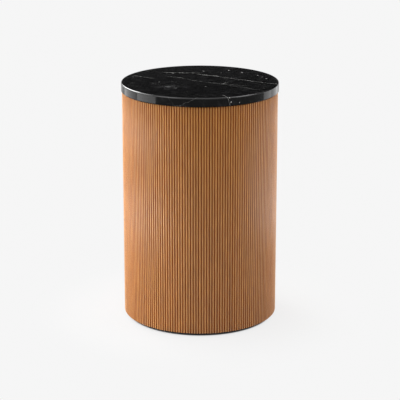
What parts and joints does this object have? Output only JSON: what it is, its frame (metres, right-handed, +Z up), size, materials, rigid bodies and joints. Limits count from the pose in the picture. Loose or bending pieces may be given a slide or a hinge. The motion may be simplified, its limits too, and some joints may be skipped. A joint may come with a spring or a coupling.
{
  "type": "accent table",
  "caption": "Round drum accent table: a polished black marble slab set on a cylinder clad in fine upright round-faced timber slats, standing on a recessed black plinth.",
  "frame": {"origin": "on the floor, on the drum's axis", "axes": "+Z up along the drum's axis; -Y towards the front, where the middle of the front slat sheet is"},
  "size_m": [0.3999, 0.4, 0.615],
  "materials": {
    "black_marble": "polished, near black with fine white veins",
    "slat_timber": "satin caramel brown, straight grain along the slats",
    "plywood": "raw birch plywood with layered edges",
    "bent_plywood": "raw bending plywood",
    "upright_softwood": "planed softwood",
    "dowel_beech": "turned beech",
    "backing_canvas": "plain woven cotton canvas, dyed dark brown",
    "plinth_black": "board painted matt black",
    "glide_nylon": "dark moulded nylon",
    "zinc_steel": "zinc-plated steel",
    "bumper_silicone": "clear silicone"
  },
  "bodies": {
    "drum": {"slab_bumpers": "bumper_silicone", "slab_dowels": "dowel_beech", "top_panel": "plywood", "stiffening_ring": "plywood", "base_panel": "plywood", "plinth": "plinth_black", "top_panel_screws": "zinc_steel", "ring_screws": "zinc_steel", "base_panel_screws": "zinc_steel", "plinth_screws": "zinc_steel", "glide_tacks": "zinc_steel", "shell_left": "bent_plywood", "shell_right": "bent_plywood", "canvas_front": "backing_canvas", "canvas_back": "backing_canvas", "slats_front": "slat_timber", "slats_back": "slat_timber", "upright_1": "upright_softwood", "upright_2": "upright_softwood", "upright_3": "upright_softwood", "upright_4": "upright_softwood", "upright_5": "upright_softwood", "upright_6": "upright_softwood", "floor_glide_1": "glide_nylon", "floor_glide_2": "glide_nylon", "floor_glide_3": "glide_nylon", "floor_glide_4": "glide_nylon"},
    "top": {"stone_slab": "black_marble"}
  },
  "joints": [
    {"name": "top_lift", "type": "slide", "parent": "drum", "child": "top", "axis": [0, 0, 1], "range_m": [0, 0.12]}
  ]
}
